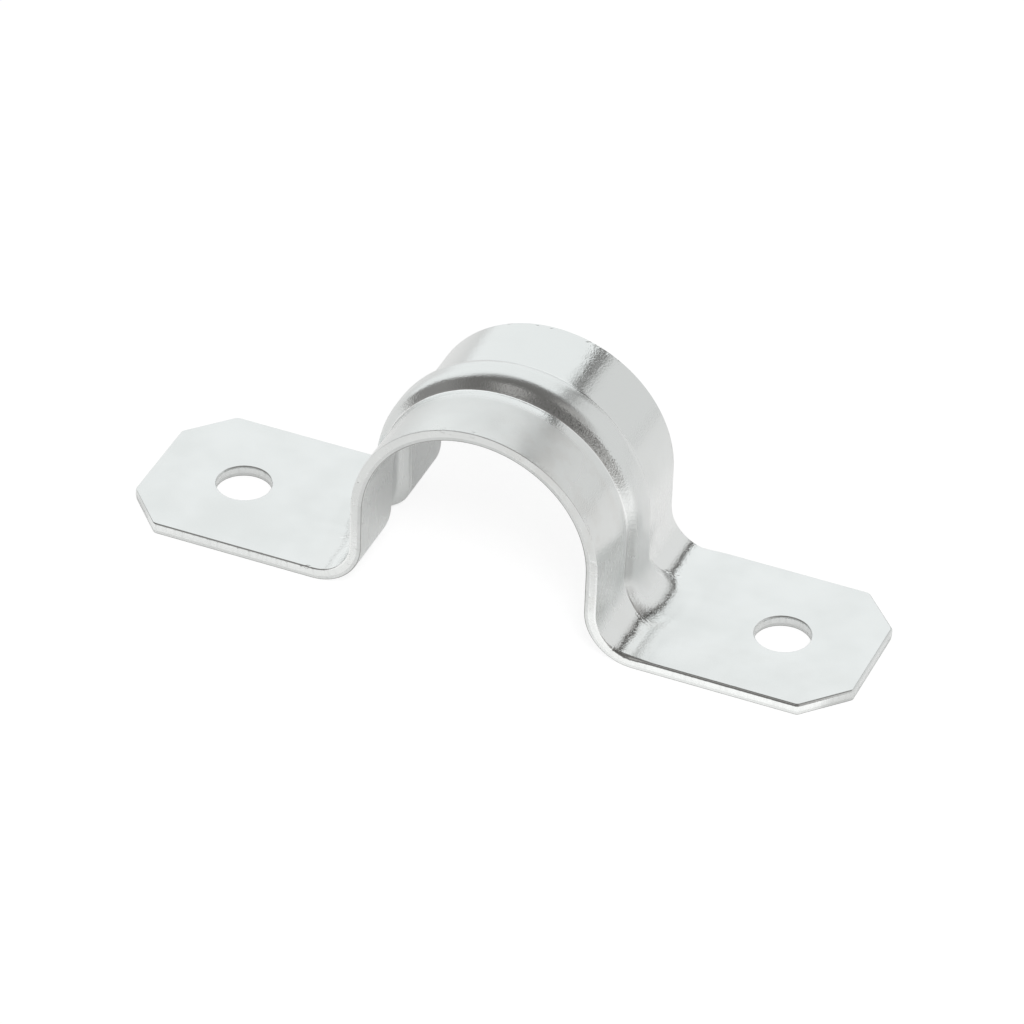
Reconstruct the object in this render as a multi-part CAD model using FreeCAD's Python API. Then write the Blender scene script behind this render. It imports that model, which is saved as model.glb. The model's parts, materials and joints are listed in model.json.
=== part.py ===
import FreeCAD, Part
import math
import os

from FreeCAD import Vector

# Two-hole conduit strap, blanked, pressed and folded from one piece of sheet steel.
# The strap runs along X and the conduit along Y. Z = 0 is the face that the ears are
# screwed down on, and the origin is on that face, midway between the screw holes.
# Sizes are in millimetres and angles in degrees.

# Sheet and blank
sheet_thickness = 1.25
strap_length = 76.4
strap_width = 19.8
ear_corner_along = 4.1
ear_corner_across = 4.5
sheared_edge_roll = 0.45

# Screw holes
screw_hole_spacing = 57.6
screw_hole_diameter = 5.6

# Saddle that goes over the conduit, and the bends where its legs turn into the ears
saddle_bore_radius = 11.75
saddle_axis_height = 9.6
foot_bend_radius = 4.0

# Stiffening rib along the middle of the saddle, pressed outwards with a groove behind it
rib_height = 1.1
rib_crest_width = 1.6
rib_flank_angle = 40.0
rib_groove_corner_radius = 0.45

# How far the working solids run past the blank before they are trimmed to its outline
overrun = 3.0

EAST = Vector(1, 0, 0)
NORTH = Vector(0, 1, 0)
UP = Vector(0, 0, 1)
TOUCHING = 1e-4


class Skin:
    """One face of the folded sheet, at a depth below its outer face."""

    def __init__(self, depth):
        self.saddle_radius = saddle_bore_radius + sheet_thickness - depth
        self.bend_radius = foot_bend_radius + depth
        self.rib_corner_radius = rib_groove_corner_radius + sheet_thickness - depth
        self.ear_level = sheet_thickness - depth
        self.floor_level = -overrun - depth


def arc(centre, radius, start_angle, end_angle):
    """Arc in an upright plane along the strap, with its angles counted from +X towards +Z."""
    points = []
    for angle in (start_angle, (start_angle + end_angle) / 2, end_angle):
        turn = math.radians(angle)
        points.append(centre + EAST * (radius * math.cos(turn)) + UP * (radius * math.sin(turn)))
    return Part.Arc(*points).toShape()


def face_within(edges):
    """Face inside a loop of edges, closed by a straight run wherever two of them don't meet."""
    loop = []
    for edge, following in zip(edges, edges[1:] + edges[:1]):
        loop.append(edge)
        end = edge.Vertexes[-1].Point
        start = following.Vertexes[0].Point
        if end.distanceToPoint(start) > TOUCHING:
            loop.append(Part.makeLine(end, start))
    return Part.Face(Part.Wire(loop))


def band_body(skin):
    """All that lies under one skin of the plain band: saddle, legs, bends and ears."""
    end = strap_length / 2 + overrun
    side = strap_width / 2 + overrun
    bend_x = skin.saddle_radius + skin.bend_radius
    bend_z = skin.ear_level + skin.bend_radius
    profile = face_within([
        Part.makeLine(Vector(end, -side, skin.floor_level), Vector(end, -side, skin.ear_level)),
        arc(Vector(bend_x, -side, bend_z), skin.bend_radius, 270, 180),
        arc(Vector(0, -side, saddle_axis_height), skin.saddle_radius, 0, 180),
        arc(Vector(-bend_x, -side, bend_z), skin.bend_radius, 0, -90),
        Part.makeLine(Vector(-end, -side, skin.ear_level), Vector(-end, -side, skin.floor_level)),
    ])
    return profile.extrude(NORTH * (2 * side))


def rib_outline(skin, height):
    """Level section of the rib where it stands on the right leg, sunk well into the band."""
    slope = math.tan(math.radians(rib_flank_angle))
    crest = saddle_bore_radius + rib_height - rib_groove_corner_radius
    crest_side = rib_crest_width / 2
    back_side = crest_side + overrun / slope
    core = Part.makePolygon([
        Vector(crest, -crest_side, height),
        Vector(crest, crest_side, height),
        Vector(crest - overrun, back_side, height),
        Vector(crest - overrun, -back_side, height),
        Vector(crest, -crest_side, height),
    ])
    return core.makeOffset2D(skin.rib_corner_radius)


def rib_foot(skin):
    """Rib on the right leg, spreading all round into the ear with the radius of the bend."""
    outline = rib_outline(skin, skin.ear_level)
    column = Part.Face(outline).extrude(UP * (saddle_axis_height - skin.ear_level))
    box = outline.BoundBox
    box.enlarge(skin.bend_radius + overrun)
    plate_corner = Vector(box.XMin, box.YMin, skin.floor_level)
    plate = Part.makeBox(box.XLength, box.YLength, skin.ear_level - skin.floor_level, plate_corner)
    foot = column.fuse(plate)
    meeting_edges = []
    for edge in foot.Edges:
        if edge.distToShape(outline)[0] < TOUCHING and edge.BoundBox.ZMax < skin.ear_level + TOUCHING:
            meeting_edges.append(edge)
    return foot.makeFillet(skin.bend_radius, meeting_edges)


def filled_body(skin):
    """All that lies under one skin of the strap, the rib and its spread feet included."""
    over_saddle = Part.Face(rib_outline(skin, saddle_axis_height))
    over_saddle = over_saddle.revolve(UP * saddle_axis_height, -NORTH, 180)
    right_foot = rib_foot(skin)
    left_foot = right_foot.mirror(Vector(0, 0, 0), EAST)
    return band_body(skin).multiFuse([over_saddle, right_foot, left_foot])


def blank_outline():
    """Outline of the pressed strap from above: a long rectangle with its corners cut off."""
    end = strap_length / 2
    side = strap_width / 2
    corners = [
        Vector(end - ear_corner_along, -side, 0),
        Vector(end, -side + ear_corner_across, 0),
        Vector(end, side - ear_corner_across, 0),
        Vector(end - ear_corner_along, side, 0),
        Vector(-end + ear_corner_along, side, 0),
        Vector(-end, side - ear_corner_across, 0),
        Vector(-end, -side + ear_corner_across, 0),
        Vector(-end + ear_corner_along, -side, 0),
    ]
    return Part.makePolygon(corners + corners[:1])


def upper_rim(body, outline):
    """Edges where the outer skin ends at the blank's outline, which shearing rolled over."""
    rim = []
    for edge in body.Edges:
        if edge.BoundBox.ZMin < sheet_thickness - TOUCHING:
            continue
        ends = [vertex.Point for vertex in edge.Vertexes]
        middle = edge.valueAt((edge.FirstParameter + edge.LastParameter) / 2)
        beneath = [Part.Vertex(point.x, point.y, 0) for point in ends + [middle]]
        if all(point.distToShape(outline)[0] < TOUCHING for point in beneath):
            rim.append(edge)
    return rim


def screw_holes():
    """Cutters for the screw holes, one through the middle of each ear."""
    cutters = []
    for side in (-1, 1):
        below = Vector(side * screw_hole_spacing / 2, 0, -overrun)
        cutters.append(Part.makeCylinder(screw_hole_diameter / 2, 2 * overrun, below))
    return cutters


def make_strap():
    """Finished strap: what lies under its outer skin, less what lies under its inner one."""
    outline = blank_outline()
    rib_top = saddle_axis_height + saddle_bore_radius + sheet_thickness + rib_height
    trimmer = Part.Face(outline).extrude(UP * (rib_top + 2 * overrun))
    trimmer.translate(UP * -overrun)
    outer = filled_body(Skin(0)).common(trimmer).removeSplitter()
    outer = outer.makeFillet(sheared_edge_roll, upper_rim(outer, outline))
    inner = filled_body(Skin(sheet_thickness))
    return outer.cut([inner] + screw_holes()).removeSplitter()


os.makedirs("parts", exist_ok=True)
strap = make_strap()
strap.exportStep("parts/strap.step")
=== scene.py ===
import json
import math

import bmesh
import bpy
from bpy.props import FloatProperty, FloatVectorProperty, PointerProperty
from mathutils import Matrix, Vector
from mathutils.geometry import tessellate_polygon


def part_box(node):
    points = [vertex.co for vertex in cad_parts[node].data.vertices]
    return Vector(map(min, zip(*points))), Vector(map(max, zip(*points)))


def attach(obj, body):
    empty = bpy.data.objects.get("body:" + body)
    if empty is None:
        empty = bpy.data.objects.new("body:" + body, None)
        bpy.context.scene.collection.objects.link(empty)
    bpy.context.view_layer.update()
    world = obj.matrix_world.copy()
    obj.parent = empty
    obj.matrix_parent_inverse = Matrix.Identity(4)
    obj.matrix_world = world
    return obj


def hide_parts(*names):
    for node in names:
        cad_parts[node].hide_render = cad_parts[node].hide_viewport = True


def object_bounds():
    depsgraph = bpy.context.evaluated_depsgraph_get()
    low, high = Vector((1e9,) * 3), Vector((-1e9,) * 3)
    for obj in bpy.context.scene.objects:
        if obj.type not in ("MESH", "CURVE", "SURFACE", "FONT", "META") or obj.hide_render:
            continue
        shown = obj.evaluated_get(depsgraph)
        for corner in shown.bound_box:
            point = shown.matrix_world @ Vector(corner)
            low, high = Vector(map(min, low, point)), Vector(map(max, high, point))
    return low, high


bl_info = {
    "name": "Conduit strap",
    "version": (1, 0, 0),
    "blender": (4, 5, 0),
    "location": "View3D > Sidebar > Strap",
    "description": "Zinc-plated two-hole conduit strap on a soft studio stage",
    "category": "Add Mesh",
}

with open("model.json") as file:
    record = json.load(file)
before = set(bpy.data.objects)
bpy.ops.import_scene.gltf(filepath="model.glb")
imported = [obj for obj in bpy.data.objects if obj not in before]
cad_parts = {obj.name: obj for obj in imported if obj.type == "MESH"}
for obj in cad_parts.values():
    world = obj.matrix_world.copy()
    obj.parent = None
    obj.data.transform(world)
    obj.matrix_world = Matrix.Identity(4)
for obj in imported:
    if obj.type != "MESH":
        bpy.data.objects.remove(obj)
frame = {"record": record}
CAD_BOX = [list(corner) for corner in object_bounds()]
STRAP_LOW, STRAP_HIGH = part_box("strap")
MOUNTS = {mount["name"]: mount for mount in frame["record"]["mounts"]}
HOLES = MOUNTS["screw_holes"]["dims"]
SADDLE = MOUNTS["conduit_saddle"]
SLOT = "zinc_plated_steel"

# Lengths are in metres, and one in millimetres is written as 4.0 * MM. The strap runs along X
# and the conduit along Y, with the wall that the strap is screwed to at Z = 0.
MM = 0.001
RIGHT_ANGLE = math.pi / 2
MERGE = 0.0001 * MM
RIGHT, LEFT = 1, -1


# ---------------------------------------------------------------- sums and nodes


class Value:
    """A number on its way through a node tree, so that sums on it are written as sums."""

    def __init__(self, nodes, socket):
        self.nodes = nodes
        self.socket = socket

    def math(self, operation, *others):
        """One Math node whose first operand is this value."""
        return self.nodes.math(operation, self, *others)

    def __add__(self, other):
        return self.math("ADD", other)

    def __sub__(self, other):
        return self.math("SUBTRACT", other)

    def __mul__(self, other):
        return self.math("MULTIPLY", other)

    def __truediv__(self, other):
        return self.math("DIVIDE", other)

    def __rsub__(self, other):
        return self.nodes.math("SUBTRACT", other, self)

    def __rtruediv__(self, other):
        return self.nodes.math("DIVIDE", other, self)

    __radd__ = __add__
    __rmul__ = __mul__

    def least(self, other):
        return self.math("MINIMUM", other)

    def most(self, other):
        return self.math("MAXIMUM", other)

    def between(self, low, high):
        return self.most(low).least(high)

    def ramp(self, start, end):
        """0 before start and 1 after end, with a soft change between them."""
        settings = {"interpolation_type": "SMOOTHSTEP"}
        sockets = {"Value": self, "From Min": start, "From Max": end}
        return self.nodes.add("ShaderNodeMapRange", settings, sockets)

    def fall(self, start, end):
        """1 before start and 0 after end, with a soft change between them."""
        return 1.0 - self.ramp(start, end)

    def bell(self, middle, half):
        """1 at the middle, fading to 0 half away on both sides."""
        return self.ramp(middle - half, middle) * self.fall(middle, middle + half)


class Nodes:
    """A node tree that is filled by calls."""

    def __init__(self, tree):
        self.tree = tree
        tree.nodes.clear()

    def add(self, kind, settings=None, sockets=None, output=0):
        """New node with its settings and then its sockets set. Gives one of its outputs."""
        node = self.tree.nodes.new(kind)
        for name, value in (settings or {}).items():
            setattr(node, name, value)
        for key, value in (sockets or {}).items():
            if isinstance(value, Value):
                self.tree.links.new(value.socket, node.inputs[key])
            else:
                node.inputs[key].default_value = value
        if not node.outputs:
            return None
        return Value(self, node.outputs[output])

    def outputs(self, value):
        """All the outputs of the node that a value comes from, by name."""
        return {out.name: Value(self, out) for out in value.socket.node.outputs}

    def math(self, operation, *operands):
        settings = {"operation": operation}
        return self.add("ShaderNodeMath", settings, dict(enumerate(operands)))

    def parts(self, vector):
        """The X, Y and Z of a vector, by name."""
        return self.outputs(self.add("ShaderNodeSeparateXYZ", {}, {0: vector}))

    def attribute(self, name, output):
        """What the mesh keeps for each point under a name."""
        return self.outputs(self.add("ShaderNodeAttribute", {"attribute_name": name}))[output]

    def object_place(self):
        return self.outputs(self.add("ShaderNodeTexCoord"))["Object"]

    def mix_colours(self, factor, first, second):
        sockets = {0: factor, 6: first, 7: second}
        return self.add("ShaderNodeMix", {"data_type": "RGBA"}, sockets, 2)

    def vector_math(self, operation, first, second, output=0):
        settings = {"operation": operation}
        return self.add("ShaderNodeVectorMath", settings, {0: first, 1: second}, output)

    def noise(self, at, size, detail=2.0, roughness=0.5):
        """Smooth noise about 0.5 whose lumps are about size metres across."""
        sockets = {"Vector": at, "Scale": 1.0 / size, "Detail": detail, "Roughness": roughness}
        return self.add("ShaderNodeTexNoise", {}, sockets)


def material_nodes(name):
    """New material, with its node tree still empty."""
    material = bpy.data.materials.new(name)
    material.use_nodes = True
    return material, Nodes(material.node_tree)


def opaque(rgb):
    return (*rgb, 1.0)


def grey(level):
    return opaque((level, level, level))


def in_scene(name, data):
    """New object, linked into the scene."""
    item = bpy.data.objects.new(name, data)
    bpy.context.scene.collection.objects.link(item)
    return item


# ---------------------------------------------------------------- settings


def length(name, description, default):
    return FloatProperty(
        name=name, description=description, default=default, min=0.0, unit="LENGTH", precision=5
    )


def angle(name, description, degrees):
    return FloatProperty(
        name=name, description=description, default=math.radians(degrees), subtype="ANGLE"
    )


def colour(name, description, default):
    return FloatVectorProperty(
        name=name,
        description=description,
        default=default,
        size=3,
        min=0.0,
        max=1.0,
        subtype="COLOR",
    )


def share(name, description, default):
    return FloatProperty(
        name=name, description=description, default=default, min=0.0, max=1.0, subtype="FACTOR"
    )


class StrapSizes(bpy.types.PropertyGroup):
    overall: length("Length", "From ear end to ear end", STRAP_HIGH.x - STRAP_LOW.x)
    width: length("Width", "Across the strap", STRAP_HIGH.y - STRAP_LOW.y)
    thickness: length("Sheet", "Thickness of the steel sheet", 1.25 * MM)
    bore: length("Bore radius", "Inside radius of the saddle", SADDLE["dims"]["r_mm"] * MM)
    axis_height: length("Axis height", "Conduit axis above the wall", SADDLE["pos_m"][2])
    foot_bend: length("Foot bend", "Radius on top where a leg turns into its ear", 4.0 * MM)
    rib_height: length("Rib height", "Rib crest above the band", 1.1 * MM)
    rib_crest: length("Rib crest", "Width of the flat along the rib's top", 1.1 * MM)
    rib_flank: angle("Rib flank", "Slope of the rib's sides", 40)
    groove_corner: length("Groove corner", "Corner radius inside the groove", 0.95 * MM)
    rib_root: length("Rib root", "How far the rib's root blends into the band", 0.35 * MM)
    rib_widening: length("Rib widening", "How much wider the rib gets down its legs", 0.8 * MM)
    rib_fade: length("Rib fade", "Run of an ear over which the rib dies out", 5.0 * MM)
    hole_spacing: length("Hole spacing", "Between the screw holes", HOLES["spacing_x_mm"] * MM)
    hole_radius: length("Hole radius", "Radius of a screw hole", HOLES["hole_r_mm"] * MM)
    corner_along: length("Corner cut along", "Length of an ear's cut corner", 4.1 * MM)
    corner_across: length("Corner cut across", "Width of an ear's cut corner", 4.5 * MM)
    corner_radius: length("Corner rounding", "Rounding of an ear's corners", 0.7 * MM)
    right_roll: length("Right edge roll", "Radius of the right ear's upper edge", 0.25 * MM)
    left_roll: length("Left edge roll", "Radius of the left ear's upper edge", 0.15 * MM)
    saddle_roll: length("Saddle edge roll", "Radius of the saddle's upper edge", 0.07 * MM)
    hole_roll: length("Hole roll", "Radius of the screw holes' upper edge", 0.14 * MM)
    crushed_roll: length("Crushed roll", "What a crushed edge adds to its radius", 0.25 * MM)
    crushed_reach: length("Crushed reach", "How far a crushed edge runs each way", 2.5 * MM)


class StrapFinish(bpy.types.PropertyGroup):
    zinc: colour("Zinc", "Clean zinc plate", (0.83, 0.845, 0.841))
    zinc_dull: colour("Dull zinc", "Zinc plate where it clouds over", (0.785, 0.801, 0.795))
    zinc_rubbed: colour("Rubbed zinc", "Zinc plate rubbed by the press tool", (0.735, 0.735, 0.72))
    # Painted highlight: lighter zinc for the rib root's bright line and the legs' top face.
    zinc_bright: colour("Bright zinc", "Burnished legs and rib root", (0.95, 0.96, 0.955))
    # Torn zinc for the lower walls, and painted shade for the inner face underneath.
    zinc_torn: colour("Torn zinc", "Plate on torn edges and underneath", (0.70, 0.712, 0.707))
    # Painted shade: dark zinc for the foot creases, the line along the burrs and specks on the
    # rib's flanks.
    grime: colour("Grime", "Dark zinc in creases and along burrs", (0.20, 0.195, 0.185))
    polish: share("Polish", "Roughness of the clean zinc", 0.07)
    dullness: share("Dullness", "Roughness of the clouded zinc", 0.12)


class StrapStage(bpy.types.PropertyGroup):
    azimuth: angle("Azimuth", "Camera's turn round the strap from the front", 21.63)
    elevation: angle("Elevation", "Camera's height over the floor", 36.65)
    roll: angle("Roll", "Camera's turn about its own axis", 2.22)
    distance: length("Distance", "From the camera to what it aims at", 0.664)
    aim_right: length("Aim right", "How far right of the origin the camera aims", 0.22 * MM)
    aim_above: length("Aim above", "How far above the origin the camera aims", 5.47 * MM)
    lens: FloatProperty(
        name="Lens", description="Focal length", default=237.0, min=1.0, unit="CAMERA"
    )
    floor_side: length("Floor side", "Length of the square floor's sides", 3.0)
    key_power: FloatProperty(
        name="Key lamp", description="Power of the soft lamp", default=4.0, min=0.0, unit="POWER"
    )
    key_size: length("Key lamp size", "Diameter of the soft lamp", 0.3)
    key_distance: length("Key lamp distance", "From the origin to the soft lamp", 1.0)


# ---------------------------------------------------------------- strap: flat blank


def span(start, end, count):
    """Evenly spaced numbers from start up to end, without end."""
    return [start + (end - start) * step / count for step in range(count)]


def both_ways(half):
    """Distances from a middle line, on both sides of it."""
    return [-distance for distance in reversed(half[1:])] + half


def run_lengths(sizes):
    """Lengths along the blank's top face of a quarter of the saddle, a leg and a bend."""
    arch = (sizes.bore + sizes.thickness) * RIGHT_ANGLE
    leg = sizes.axis_height - sizes.thickness - sizes.foot_bend
    return arch, leg, sizes.foot_bend * RIGHT_ANGLE


def edge_profile(sizes, roll):
    """Section of a sheared edge as (inset from the outline, depth), from the top face down."""
    sheet = sizes.thickness
    roll_steps = 8
    rolled = []
    for step in range(roll_steps + 1):
        turn = RIGHT_ANGLE * step / roll_steps
        rolled.append((roll * (1 - math.sin(turn)), roll * (1 - math.cos(turn))))
    top = [(roll * 1.3, 0.0)]
    cut = [(0.0, 0.42 * sheet), (0.0, 0.62 * sheet)]
    torn = [(0.03 * MM, 0.70 * sheet), (0.05 * MM, sheet - 0.10 * MM)]
    burr = [(0.06 * MM, sheet - 0.05 * MM), (0.10 * MM, sheet - 0.01 * MM)]
    underside = [(0.14 * MM, sheet), (0.25 * MM, sheet)]
    return top + rolled + cut + torn + burr + underside


def roll_at(sizes, place):
    """Radius of the upper edge at a place along the blank, where left is negative.
    It is crushed just before the end of the right foot bend."""
    arch, leg, bend = run_lengths(sizes)
    turned = min(max((abs(place) - arch - leg) / bend, 0.0), 1.0)
    if place < 0:
        return sizes.saddle_roll + (sizes.left_roll - sizes.saddle_roll) * turned
    crushed_at = arch + leg + bend - 0.5 * MM
    crushed = max(1.0 - abs(place - crushed_at) / sizes.crushed_reach, 0.0)
    roll = sizes.saddle_roll + (sizes.right_roll - sizes.saddle_roll) * turned
    return roll + crushed * sizes.crushed_roll


def rows_across(sizes):
    """Distances from the middle line at which the faces are divided, finest on the rib."""
    crest = sizes.rib_crest / 2
    shoulder = crest + 1.2 * MM
    root = crest + 4.4 * MM
    margin = sizes.width / 2 - 1.0 * MM
    half = span(0.0, crest, 3) + span(crest, shoulder, 12) + span(shoulder, root, 32)
    half += span(root, margin, 7) + [margin]
    return both_ways(half)


def places_along(sizes):
    """Distances along the blank from its middle, out to where an ear's patch begins."""
    arch, leg, bend = run_lengths(sizes)
    foot_start = arch + leg
    foot_end = foot_start + bend
    patch = foot_end + sizes.rib_fade
    half = span(0.0, arch, 64) + span(arch, foot_start, 8) + span(foot_start, foot_end, 32)
    half += span(foot_end, patch, 14) + [patch]
    return both_ways(half)


def ear_outline(sizes, start, end):
    """Points and outward directions round one ear, from its front edge to its back edge."""
    side = sizes.width / 2
    corners = [
        Vector((start, -side)),
        Vector((end - sizes.corner_along, -side)),
        Vector((end, -side + sizes.corner_across)),
        Vector((end, side - sizes.corner_across)),
        Vector((end - sizes.corner_along, side)),
        Vector((start, side)),
    ]
    round_steps = 5
    outline = [(corners[0], Vector((0.0, -1.0)))]
    for before, corner, after in zip(corners, corners[1:], corners[2:]):
        heading = (corner - before).normalized()
        leaving = (after - corner).normalized()
        turn = heading.angle(leaving)
        setback = sizes.corner_radius * math.tan(turn / 2)
        first = Vector((heading.y, -heading.x))
        centre = corner - heading * setback - first * sizes.corner_radius
        for step in range(round_steps + 1):
            outward = Matrix.Rotation(turn * step / round_steps, 2) @ first
            outline.append((centre + outward * sizes.corner_radius, outward))
    outline.append((corners[-1], Vector((0.0, 1.0))))
    return outline


def hole_outline(sizes, centre):
    """Points and outward directions, which point into the hole, round a screw hole."""
    outline = []
    for turn in span(0.0, 2 * math.pi, 72):
        away = Vector((math.cos(turn), math.sin(turn)))
        outline.append((Vector((centre, 0.0)) + away * sizes.hole_radius, -away))
    return outline


class Blank:
    """The strap before it is pressed and folded: a flat closed mesh with its top face at Z = 0.

    What goes on the left is drawn on the right and mirrored."""

    def __init__(self, sizes):
        self.sizes = sizes
        self.rows = rows_across(sizes)
        self.places = places_along(sizes)
        self.steel = bmesh.new()

    def face(self, points, side=RIGHT):
        corners = [(side * x, y, z) for x, y, z in points]
        self.steel.faces.new([self.steel.verts.new(corner) for corner in corners])

    def sweep(self, outline, rolls, side=RIGHT, closed=False):
        """Sheared edge along an outline, whose upper edge has its own roll at each point.
        Gives where it meets the top face and where it meets the underside."""
        lines = []
        for (point, outward), roll in zip(outline, rolls):
            line = []
            for inset, depth in edge_profile(self.sizes, roll):
                foot = point - outward * inset
                line.append(Vector((foot.x, foot.y, -depth)))
            lines.append(line)
        following = lines[1:] + lines[:1] if closed else lines[1:]
        for here, there in zip(lines, following):
            for step in range(len(here) - 1):
                self.face([here[step], here[step + 1], there[step + 1], there[step]], side)
        return [line[0] for line in lines], [line[-1] for line in lines]

    def add_band(self):
        """Saddle, legs and foot bends, with the near part of both ears."""
        edge = self.sizes.width / 2
        rolls = [roll_at(self.sizes, place) for place in self.places]
        front = [(Vector((place, -edge)), Vector((0.0, -1.0))) for place in self.places]
        back = [(Vector((place, edge)), Vector((0.0, 1.0))) for place in self.places]
        front_loops = self.sweep(front, rolls)
        back_loops = self.sweep(back, rolls)
        for near_loop, far_loop in zip(front_loops, back_loops):
            level = near_loop[0].z
            lines = []
            for place, near, far in zip(self.places, near_loop, far_loop):
                inside = [Vector((place, row, level)) for row in self.rows]
                lines.append([near] + inside + [far])
            for here, there in zip(lines, lines[1:]):
                for step in range(len(here) - 1):
                    self.face([here[step], there[step], there[step + 1], here[step + 1]])

    def add_ear(self, side, roll):
        """Patch with an ear's cut corners and its screw hole."""
        sizes = self.sizes
        patch = self.places[-1]
        # How much nearer to the middle an ear comes when the blank is folded
        taken_up = sum(run_lengths(sizes)) - sizes.bore - sizes.thickness - sizes.foot_bend
        ear = ear_outline(sizes, patch, taken_up + sizes.overall / 2)
        hole = hole_outline(sizes, taken_up + sizes.hole_spacing / 2)
        ear_loops = self.sweep(ear, [roll] * len(ear), side)
        hole_loops = self.sweep(hole, [sizes.hole_roll] * len(hole), side, closed=True)
        for ear_loop, hole_loop in zip(ear_loops, hole_loops):
            level = ear_loop[0].z
            outer = ear_loop + [Vector((patch, row, level)) for row in reversed(self.rows)]
            points = outer + hole_loop
            for corners in tessellate_polygon([outer, hole_loop]):
                self.face([points[corner] for corner in corners], side)

    def finished(self, name):
        """The blank as one closed mesh."""
        bmesh.ops.remove_doubles(self.steel, verts=self.steel.verts, dist=MERGE)
        bmesh.ops.recalc_face_normals(self.steel, faces=self.steel.faces)
        mesh = bpy.data.meshes.new(name)
        self.steel.to_mesh(mesh)
        self.steel.free()
        return mesh


def flat_blank(sizes):
    blank = Blank(sizes)
    blank.add_band()
    blank.add_ear(RIGHT, sizes.right_roll)
    blank.add_ear(LEFT, sizes.left_roll)
    return blank.finished("strap_body")


# ---------------------------------------------------------------- strap: pressing and folding


FOLD_INPUTS = {
    "Bore Radius": "bore",
    "Sheet Thickness": "thickness",
    "Axis Height": "axis_height",
    "Foot Bend Radius": "foot_bend",
    "Rib Height": "rib_height",
    "Rib Crest Width": "rib_crest",
    "Rib Flank Angle": "rib_flank",
    "Groove Corner Radius": "groove_corner",
    "Rib Root Blend": "rib_root",
    "Rib Widening": "rib_widening",
    "Rib Fade": "rib_fade",
}


def pressed_and_folded(given, place):
    """Where a point of the blank comes to, by X, Y and Z, and how high it is on the rib.

    The band turns round the saddle, drops down a leg and turns out into an ear. The rib's crest
    is flat, its shoulders are round and its flanks are straight."""
    bore = given["Bore Radius"]
    sheet = given["Sheet Thickness"]
    axis = given["Axis Height"]
    bend = given["Foot Bend Radius"]
    corner = given["Groove Corner Radius"]
    flank = given["Rib Flank Angle"]
    along = place["X"].math("ABSOLUTE")
    depth = place["Z"] * -1.0

    outer = bore + sheet
    arch = outer * RIGHT_ANGLE
    leg = axis - sheet - bend
    turn = along.least(arch) / outer
    drop = (along - arch).between(0.0, leg)
    after_leg = along - arch - leg
    fold = (after_leg / bend).between(0.0, RIGHT_ANGLE)
    past = (after_leg - bend * RIGHT_ANGLE).most(0.0)

    spread = (bend + depth) * (1.0 - fold.math("COSINE"))
    band = outer - depth + spread
    grown = corner + sheet - depth + spread
    widening = given["Rib Widening"] * along.ramp(arch * 0.8, arch + leg + bend * RIGHT_ANGLE)
    crest_edge = (given["Rib Crest Width"] + widening) * 0.5
    aside = (place["Y"].math("ABSOLUTE") - crest_edge).most(0.0)
    shoulder = grown * flank.math("SINE")
    round_part = aside.least(shoulder)
    slope_part = (aside - shoulder).most(0.0) * flank.math("TANGENT")
    round_centre = bore + given["Rib Height"] - corner
    rib = round_centre + (grown * grown - round_part * round_part).math("SQRT") - slope_part
    lift = rib.math("SMOOTH_MAX", band, given["Rib Root Blend"]) - band
    ear_lift = lift * past.fall(0.0, given["Rib Fade"])

    x = place["X"].math("SIGN") * ((band + ear_lift) * turn.math("SINE") + past)
    z = axis + (band + lift) * turn.math("COSINE") - drop
    z = z - (bend + depth) * fold.math("SINE")
    return {"X": x, "Y": place["Y"], "Z": z}, rib - band


def fold_tree(material):
    """Tree that presses the rib into a flat blank and folds the blank over the conduit.

    Each point keeps its place on the blank and its height on the rib, for the material."""
    tree = bpy.data.node_groups.new("press_and_fold", "GeometryNodeTree")
    tree.interface.new_socket("Blank", in_out="INPUT", socket_type="NodeSocketGeometry")
    for name in FOLD_INPUTS:
        tree.interface.new_socket(name, in_out="INPUT", socket_type="NodeSocketFloat")
    tree.interface.new_socket("Strap", in_out="OUTPUT", socket_type="NodeSocketGeometry")
    nodes = Nodes(tree)
    given = nodes.outputs(nodes.add("NodeGroupInput"))
    position = nodes.add("GeometryNodeInputPosition")
    folded, rise = pressed_and_folded(given, nodes.parts(position))

    geometry = given["Blank"]
    for name, kind, value in (("blank", "FLOAT_VECTOR", position), ("rib_rise", "FLOAT", rise)):
        settings = {"data_type": kind, "domain": "POINT"}
        sockets = {"Geometry": geometry, "Name": name, "Value": value}
        geometry = nodes.add("GeometryNodeStoreNamedAttribute", settings, sockets)
    new_position = nodes.add("ShaderNodeCombineXYZ", {}, folded)
    for kind, sockets in (
        ("GeometryNodeSetPosition", {"Position": new_position}),
        ("GeometryNodeSetShadeSmooth", {}),
        ("GeometryNodeRealizeInstances", {}),
        ("GeometryNodeSetMaterial", {"Material": material}),
    ):
        geometry = nodes.add(kind, {}, {"Geometry": geometry, **sockets})
    nodes.add("NodeGroupOutput", {}, {"Strap": geometry})
    return tree


def made_plain(piece):
    """Turns a piece's modifiers into its mesh."""
    depsgraph = bpy.context.evaluated_depsgraph_get()
    finished = piece.evaluated_get(depsgraph)
    mesh = bpy.data.meshes.new_from_object(
        finished, preserve_all_data_layers=True, depsgraph=depsgraph
    )
    piece.modifiers.clear()
    piece.data = mesh
    mesh.name = piece.name


def make_strap(sizes, finish):
    piece = in_scene("strap_body", flat_blank(sizes))
    material = zinc_plated_steel(finish, sizes)
    piece.data.materials.append(material)
    tree = fold_tree(material)
    modifier = piece.modifiers.new("press_and_fold", "NODES")
    modifier.node_group = tree
    for item in tree.interface.items_tree:
        if item.in_out == "INPUT" and item.name in FOLD_INPUTS:
            modifier[item.identifier] = getattr(sizes, FOLD_INPUTS[item.name])
    made_plain(piece)
    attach(piece, "root")
    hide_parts("strap")


# ---------------------------------------------------------------- strap: zinc plate


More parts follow.
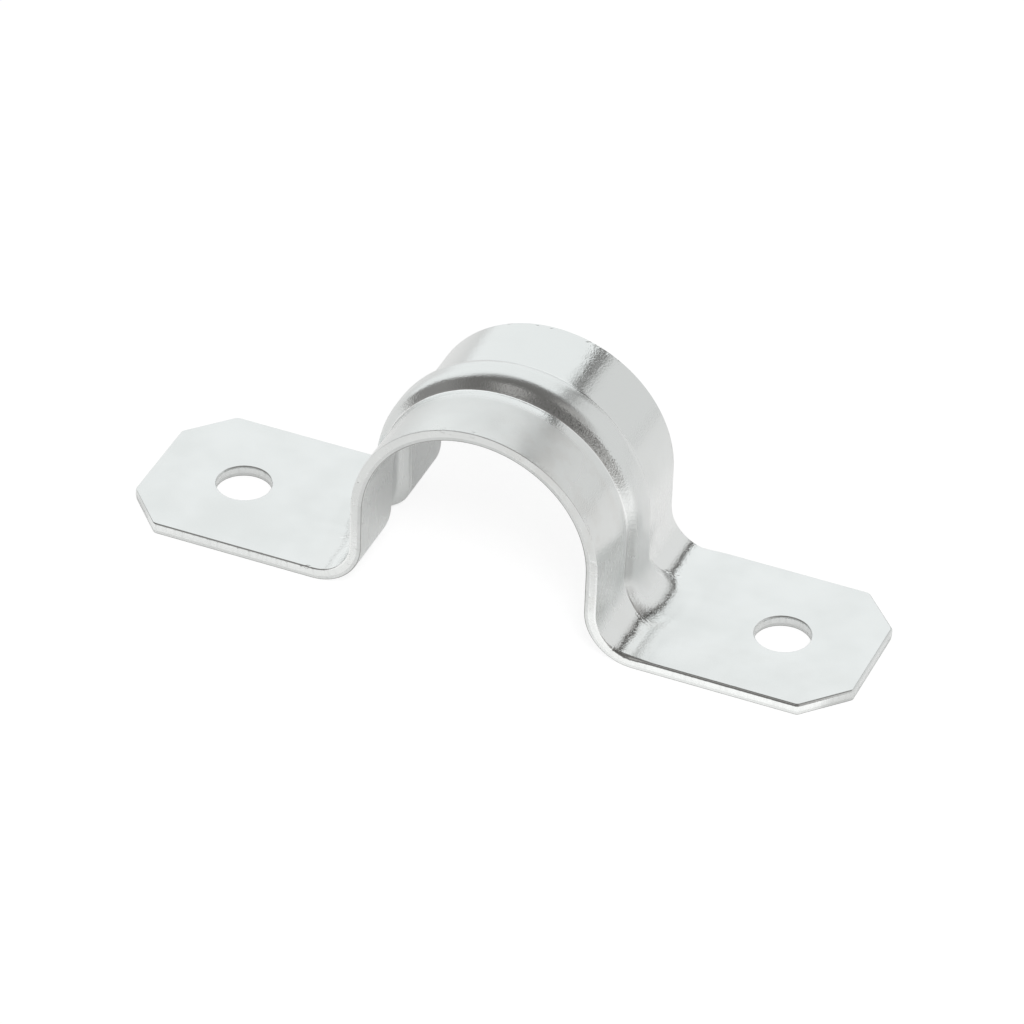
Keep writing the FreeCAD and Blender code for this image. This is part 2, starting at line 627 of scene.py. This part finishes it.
class ZincPlate:
    """The plate on the strap, to which each part of the strap adds its own marks.

    A mark tints the plate, roughens it or lifts it. Places are those on the flat blank: along
    is how far from the middle, and depth is how far below the top face."""

    TINTS = ("zinc_dull", "zinc_rubbed", "zinc_bright", "zinc_torn", "grime")

    def __init__(self, nodes, finish, sizes):
        self.nodes = nodes
        self.finish = finish
        self.sheet = sizes.thickness
        self.edge = sizes.width / 2
        self.arch, leg, self.bend = run_lengths(sizes)
        self.foot_start = self.arch + leg
        self.foot_end = self.foot_start + self.bend
        self.crease_at = self.foot_end - 1.5 * MM
        self.read_blank()
        self.mask_parts()
        self.shown = {}
        self.roughness = finish.polish
        self.height = 0.0

    def read_blank(self):
        """Where a point is, on the strap and on the blank, and the noises that marks share."""
        self.at = self.nodes.object_place()
        self.blank = self.nodes.attribute("blank", "Vector")
        self.rise = self.nodes.attribute("rib_rise", "Fac")
        place = self.nodes.parts(self.blank)
        self.x = place["X"]
        self.y = place["Y"]
        self.along = self.x.math("ABSOLUTE")
        self.depth = place["Z"] * -1.0
        self.wandering = self.along + (self.noise(1.7 * MM, detail=1.5) - 0.5) * (1.0 * MM)
        self.clouds = self.noise(6 * MM)
        self.specks = self.noise(0.13 * MM, detail=1.0)

    def mask_parts(self):
        """Values that are 1 on one part of the strap and fade to 0 beside it. An ear is only
        a little worked."""
        self.on_top = self.depth.fall(0.05 * MM, 0.2 * MM)
        self.underside = self.depth.ramp(0.97 * self.sheet, 0.995 * self.sheet)
        self.wall = self.depth.ramp(0.1 * MM, 0.25 * MM) - self.underside
        self.worked = 1.0 - self.along.ramp(self.foot_end, self.foot_end + 1.5 * MM) * 0.8
        self.flank = self.rise.ramp(0.0, 0.1 * MM) * self.rise.fall(0.7 * MM, 0.95 * MM)

    def noise(self, size, detail=2.0, roughness=0.5):
        return self.nodes.noise(self.at, size, detail, roughness)

    def tint(self, name, factor):
        """Shows a tint by a factor, or as much as it shows already where that is more."""
        self.shown[name] = self.shown[name].most(factor) if name in self.shown else factor

    def roughen(self, amount):
        self.roughness += amount

    def lift(self, factor, height):
        self.height += factor * height

    def add_pressed_sheet(self):
        """Soft clouds everywhere, and grain and waves where the sheet was pressed and bent."""
        cloudy = self.clouds.ramp(0.3, 0.7)
        self.tint("zinc_dull", cloudy)
        self.roughen(cloudy * (self.finish.dullness - self.finish.polish))
        creased = self.wandering.bell(self.crease_at, 1.5 * MM)
        grained = self.worked + creased * 0.6 + self.flank * self.worked * 0.5
        self.lift(self.noise(0.2 * MM, roughness=0.7) * grained, 0.016 * MM)
        self.lift(self.noise(2.6 * MM) * self.worked, 0.032 * MM)

    def add_saddle(self):
        """Saddle dulled by rolling."""
        rolled = self.worked * self.on_top * self.along.fall(0.7 * self.arch, self.arch)
        self.tint("zinc_dull", rolled * 0.8)

    def add_front_band(self):
        """Satin patch on the band in front of the rib, with soft stains to its right."""
        front = self.y.fall(-4.2 * MM, -3.0 * MM)
        satin = front * self.along.fall(9 * MM, 13 * MM)
        self.roughen(satin * (0.12 + self.clouds * 0.28))
        stains = self.noise(2.4 * MM, detail=3.0, roughness=0.6).ramp(0.42, 0.62)
        stains = stains * self.x.ramp(-2.0 * MM, 6.0 * MM)
        self.tint("zinc_rubbed", front * (0.2 + stains * 0.45) * self.worked)

    def add_rib(self):
        """Painted highlight along the rib's root, painted dark specks on the right of its flanks, a
        matt crest.
        """
        root = self.rise.bell(0.04 * MM, 0.17 * MM) * (1.0 - self.wall)
        root = root * self.along.fall(self.foot_end - 1.2 * MM, self.foot_end - 0.4 * MM)
        # Painted highlight: the root line is tinted lighter, in a shallow groove.
        self.tint("zinc_bright", root)
        self.lift(root, -0.035 * MM)
        specks_and_painted_dark = self.x.ramp(1.0 * MM, 9.0 * MM) * self.along.fall(12 * MM, 16 * MM)
        specks_and_painted_dark = specks_and_painted_dark * self.flank
        # Painted dark reflection: dark specks on the flanks, which the lift below also bumps.
        self.tint("grime", self.noise(0.19 * MM).ramp(0.54, 0.64) * specks_and_painted_dark * 0.5)
        self.lift(self.specks * specks_and_painted_dark, 0.03 * MM)
        self.roughen(self.rise.ramp(0.8 * MM, 1.0 * MM) * self.worked * 0.13)

    def add_legs(self):
        """Legs rubbed by the tool that folded them, with lines drawn down them and a painted
        highlight.
        """
        wiped = self.along.ramp(0.7 * self.arch, self.arch)
        wiped_to = self.foot_start + 0.3 * self.bend
        wiped = wiped * self.along.fall(wiped_to, wiped_to + 0.3 * self.bend)
        drawn_at = self.nodes.vector_math("MULTIPLY", self.blank, (0.12, 1.0, 0.12))
        drawn = self.nodes.noise(drawn_at, 1.1 * MM, detail=3.0, roughness=0.55)
        self.tint("zinc_rubbed", wiped * drawn.ramp(0.4, 0.65) * 0.3)
        self.roughen(wiped * (0.08 + drawn * 0.2))
        self.lift(drawn * wiped, 0.03 * MM)
        # Painted highlight: lightens the legs' top face, evening out their dark reflection.
        painted_lightening = self.along.ramp(self.arch - 2.5 * MM, self.arch + 1.5 * MM)
        painted_lightening = painted_lightening * self.along.fall(self.foot_end - 2.5 * MM, self.crease_at)
        self.tint("zinc_bright", painted_lightening * self.depth.fall(0.1 * MM, 0.25 * MM) * 0.6)

    def add_foot_creases(self):
        """Thin wandering crease across each foot bend, with knots at the rib's root.
        Painted shade darkens it, more on the right."""
        packed = self.wandering.bell(self.crease_at, 0.5 * MM)
        loose = self.wandering.bell(self.crease_at, 1.1 * MM)
        grime = packed * self.specks.ramp(0.34, 0.56) + loose * self.specks.ramp(0.62, 0.68) * 0.7
        rightward = self.x.ramp(-1.0 * MM, 1.0 * MM) * 0.8 + 0.2
        # Painted shade in the crease, more on the right.
        self.tint("grime", grime * self.on_top * rightward * 0.9)
        self.lift(packed * self.on_top, -0.009 * MM)
        knots = self.noise(0.25 * MM, detail=1.0) * self.rise.bell(0.0, 0.3 * MM)
        self.lift(knots * self.along.bell(self.crease_at, 1.5 * MM), 0.08 * MM)

    def add_ears(self):
        """Ears a little more matt than the rest."""
        self.roughen(self.along.ramp(self.foot_end, self.foot_end + 2 * MM) * 0.08)

    def add_sheared_edges(self):
        """Walls cut clean above and torn below, with streaks on the ears, painted shade along the
        burr, and nicks along the upper edge."""
        streaks_at = self.nodes.vector_math("MULTIPLY", self.blank, (1.0, 1.0, 0.15))
        streaks = self.nodes.noise(streaks_at, 0.4 * MM, detail=3.0, roughness=0.65)
        ear_wall = self.wall * self.along.ramp(self.foot_start, self.foot_end)
        torn = self.depth.ramp(0.60 * self.sheet, 0.70 * self.sheet) * self.wall
        self.tint("zinc_torn", torn.most(ear_wall * streaks.ramp(0.5, 0.62) * 0.4))
        self.roughen(torn * 0.2 + (streaks - 0.5) * self.wall * 0.3)
        self.lift(streaks * ear_wall, 0.05 * MM)
        # Painted shade: a dark line along the burr, just above the underside.
        self.tint("grime", self.depth.bell(0.94 * self.sheet, 0.06 * self.sheet) * 0.75)
        upper_edge = self.y.math("ABSOLUTE").ramp(self.edge - 0.6 * MM, self.edge - 0.3 * MM)
        nicks = self.noise(0.9 * MM).ramp(0.58, 0.68) * upper_edge * self.worked
        self.lift(nicks, -0.03 * MM)

    def add_underside(self):
        """Inner face greyed by painted shade, dented on the legs."""
        # Painted shade on the inner face.
        self.tint("zinc_torn", self.underside * 0.7)
        dented = self.along.ramp(self.arch, self.foot_start)
        dented = dented * self.along.fall(self.foot_end - 1.0 * MM, self.foot_end)
        self.lift(self.noise(0.9 * MM) * self.underside * dented, 0.03 * MM)

    def colour(self):
        plate = opaque(self.finish.zinc)
        for name in self.TINTS:
            tint = opaque(getattr(self.finish, name))
            plate = self.nodes.mix_colours(self.shown[name], plate, tint)
        return plate


def zinc_plated_steel(finish, sizes):
    """Bright zinc plate on pressed sheet, with its sheared edges."""
    material, nodes = material_nodes(SLOT)
    plate = ZincPlate(nodes, finish, sizes)
    plate.add_pressed_sheet()
    plate.add_saddle()
    plate.add_front_band()
    plate.add_rib()
    plate.add_legs()
    plate.add_foot_creases()
    plate.add_ears()
    plate.add_sheared_edges()
    plate.add_underside()
    relief = {"Strength": 1.0, "Distance": 1.0, "Height": plate.height}
    sockets = {
        "Base Color": plate.colour(),
        "Metallic": 1.0,
        "Roughness": plate.roughness,
        "Normal": nodes.add("ShaderNodeBump", {}, relief),
    }
    surface = nodes.add("ShaderNodeBsdfPrincipled", {}, sockets)
    nodes.add("ShaderNodeOutputMaterial", {}, {"Surface": surface})
    return material


# ---------------------------------------------------------------- stage


def soft_white_floor():
    """Pale floor that reads white, keeps the strap's soft shadow and is clear from below.
    Its image in the metal gets some light of its own, more of it just in front of the strap."""
    material, nodes = material_nodes("floor_white")
    rays = nodes.outputs(nodes.add("ShaderNodeLightPath"))
    seen = rays["Is Camera Ray"]
    mirrored = rays["Is Glossy Ray"]
    place = nodes.parts(nodes.object_place())
    just_in_front = place["Y"].ramp(-22 * MM, -15 * MM) * place["Y"].fall(-9 * MM, -7 * MM)
    spill = 0.15 + place["X"].ramp(-20 * MM, 20 * MM) * 0.2
    pale = nodes.mix_colours(seen, opaque((0.84, 0.84, 0.832)), grey(0.22))
    paper = nodes.add("ShaderNodeBsdfDiffuse", {}, {"Color": pale})
    strength = seen * 0.86 + mirrored * (just_in_front * spill + 0.19)
    glow = nodes.add("ShaderNodeEmission", {}, {"Color": grey(1.0), "Strength": strength})
    both = nodes.add("ShaderNodeAddShader", {}, {0: paper, 1: glow})
    under = nodes.outputs(nodes.add("ShaderNodeNewGeometry"))["Backfacing"]
    clear = nodes.add("ShaderNodeBsdfTransparent")
    surface = nodes.add("ShaderNodeMixShader", {}, {0: under, 1: both, 2: clear})
    nodes.add("ShaderNodeOutputMaterial", {}, {"Surface": surface})
    return material


def make_floor(stage):
    half = stage.floor_side / 2
    mesh = bpy.data.meshes.new("floor")
    corners = [(-half, -half, 0), (half, -half, 0), (half, half, 0), (-half, half, 0)]
    mesh.from_pydata(corners, [], [(0, 1, 2, 3)])
    mesh.materials.append(soft_white_floor())
    floor = in_scene("floor", mesh)
    floor.location.z = CAD_BOX[0][2]


def direction(azimuth, elevation):
    """Unit vector, with azimuth counted from +X towards +Y, both in degrees."""
    flat = math.cos(math.radians(elevation))
    turn = math.radians(azimuth)
    return Vector((flat * math.cos(turn), flat * math.sin(turn), math.sin(math.radians(elevation))))


class Surroundings:
    """The studio all round the strap, by the direction in which a ray leaves."""

    WHITE_BOX = opaque((0.98, 1.0, 1.0))
    WARM_BOX = opaque((0.775, 0.78, 0.775))
    GAP = opaque((0.05, 0.045, 0.04))
    ROOM_LEFT = opaque((0.27, 0.265, 0.26))
    ROOM_RIGHT = opaque((0.43, 0.42, 0.41))
    CEILING = opaque((0.17, 0.165, 0.16))
    CEILING_LIT = opaque((0.42, 0.41, 0.40))

    def __init__(self, nodes):
        self.nodes = nodes
        self.toward = nodes.add("ShaderNodeTexCoord")

    def facing(self, vector):
        """Cosine of the angle between where a ray goes and a vector."""
        return self.nodes.vector_math("DOT_PRODUCT", self.toward, vector, 1)

    def within(self, azimuth, elevation, inner, outer):
        """1 inside a round patch, up to its inner radius in degrees, and 0 past its outer."""
        near = math.cos(math.radians(inner))
        far = math.cos(math.radians(outer))
        return self.facing(direction(azimuth, elevation)).ramp(far, near)

    def soft_boxes(self):
        """A white soft box and a warmer one behind the strap, with a dark gap between them."""
        gap_foot = direction(90, -3)
        gap_head = direction(75, 38)
        beside_gap = self.facing(gap_foot.cross(gap_head).normalized())
        light = self.nodes.mix_colours(beside_gap.ramp(0.0, 0.05), self.WHITE_BOX, self.WARM_BOX)
        in_gap = beside_gap.ramp(-0.045, -0.025) * beside_gap.fall(-0.03, 0.17)
        return self.nodes.mix_colours(in_gap, light, self.GAP)

    def room(self):
        rightward = self.facing((1.0, 0.0, 0.0)).ramp(-0.8, 0.5)
        return self.nodes.mix_colours(rightward, self.ROOM_LEFT, self.ROOM_RIGHT)

    def ceiling(self):
        """Dim ceiling with one lit patch on the right and one in front, on the left."""
        light = self.CEILING
        for lit in (self.within(-5, 55, 6, 24), self.within(-122, 60, 4, 15)):
            light = self.nodes.mix_colours(lit, light, self.CEILING_LIT)
        return light

    def light(self):
        """Soft boxes behind, the room in front, and the ceiling above."""
        in_front = self.facing(direction(-104, 0)).ramp(-0.05, 0.12)
        light = self.nodes.mix_colours(in_front, self.soft_boxes(), self.room())
        return self.nodes.mix_colours(self.within(-95, 72, 40, 60), light, self.ceiling())


def make_world():
    """White studio, whose darker parts are seen only by what mirrors them. It gives matt
    things less than half of its light, because the key lamp adds its own."""
    world = bpy.data.worlds.new("studio_white")
    bpy.context.scene.world = world
    world.use_nodes = True
    nodes = Nodes(world.node_tree)
    rays = nodes.outputs(nodes.add("ShaderNodeLightPath"))
    light = Surroundings(nodes).light()
    light = nodes.mix_colours(rays["Is Glossy Ray"], grey(1.0), light)
    strength = 1.0 - rays["Is Diffuse Ray"] * 0.55
    glow = nodes.add("ShaderNodeBackground", {}, {"Color": light, "Strength": strength})
    nodes.add("ShaderNodeOutputWorld", {}, {"Surface": glow})


def make_key_lamp(stage):
    """Large soft lamp in front, on the right. Only matt things see it."""
    lamp = bpy.data.lights.new("key_lamp", "AREA")
    lamp.shape = "DISK"
    lamp.size = stage.key_size
    lamp.energy = stage.key_power
    holder = in_scene("key_lamp", lamp)
    away = direction(-60, 52)
    holder.location = away * stage.key_distance
    holder.rotation_euler = away.to_track_quat("Z", "Y").to_euler()
    holder.visible_glossy = False
    holder.visible_camera = False


def make_camera(stage):
    """Camera over the strap's front and right, rolled a little about its own axis."""
    turn = Matrix.Rotation(stage.azimuth, 3, "Z")
    right = turn @ Vector((1, 0, 0))
    back = turn @ Matrix.Rotation(-stage.elevation, 3, "X") @ Vector((0, -1, 0))
    up = back.cross(right)
    across = right * math.cos(stage.roll) + up * math.sin(stage.roll)
    above = up * math.cos(stage.roll) - right * math.sin(stage.roll)
    aim = across * stage.aim_right + above * stage.aim_above
    rotation = Matrix((across, above, back)).transposed()
    camera = bpy.data.cameras.new("camera")
    camera.lens = stage.lens
    camera.sensor_width = 36.0
    holder = in_scene("camera", camera)
    holder.matrix_world = Matrix.Translation(aim + back * stage.distance) @ rotation.to_4x4()
    bpy.context.scene.camera = holder


# ---------------------------------------------------------------- add-on


class OBJECT_OT_add_strap(bpy.types.Operator):
    """Make the folded strap with its rib, screw holes and zinc plate"""

    bl_idname = "object.add_conduit_strap"
    bl_label = "Strap"

    def execute(self, context):
        make_strap(context.scene.strap_sizes, context.scene.strap_finish)
        return {"FINISHED"}


class OBJECT_OT_add_strap_stage(bpy.types.Operator):
    """Make the floor, the surroundings, the lamp and the camera"""

    bl_idname = "object.add_strap_stage"
    bl_label = "Stage"

    def execute(self, context):
        stage = context.scene.strap_stage
        context.scene.view_settings.view_transform = "Standard"
        make_floor(stage)
        make_world()
        make_key_lamp(stage)
        make_camera(stage)
        return {"FINISHED"}


class VIEW3D_PT_strap(bpy.types.Panel):
    bl_label = "Conduit strap"
    bl_idname = "VIEW3D_PT_conduit_strap"
    bl_space_type = "VIEW_3D"
    bl_region_type = "UI"
    bl_category = "Strap"

    def draw(self, context):
        scene = context.scene
        for group in (scene.strap_sizes, scene.strap_finish, scene.strap_stage):
            box = self.layout.box()
            for name in group.__annotations__:
                box.prop(group, name)
        self.layout.operator(OBJECT_OT_add_strap.bl_idname)
        self.layout.operator(OBJECT_OT_add_strap_stage.bl_idname)


CLASSES = (
    StrapSizes,
    StrapFinish,
    StrapStage,
    OBJECT_OT_add_strap,
    OBJECT_OT_add_strap_stage,
    VIEW3D_PT_strap,
)


def register():
    for item in CLASSES:
        bpy.utils.register_class(item)
    bpy.types.Scene.strap_sizes = PointerProperty(type=StrapSizes)
    bpy.types.Scene.strap_finish = PointerProperty(type=StrapFinish)
    bpy.types.Scene.strap_stage = PointerProperty(type=StrapStage)


def unregister():
    del bpy.types.Scene.strap_stage
    del bpy.types.Scene.strap_finish
    del bpy.types.Scene.strap_sizes
    for item in reversed(CLASSES):
        bpy.utils.unregister_class(item)


def main():
    register()
    bpy.ops.object.add_strap_stage()
    bpy.ops.object.add_conduit_strap()


if __name__ == "__main__":
    main()
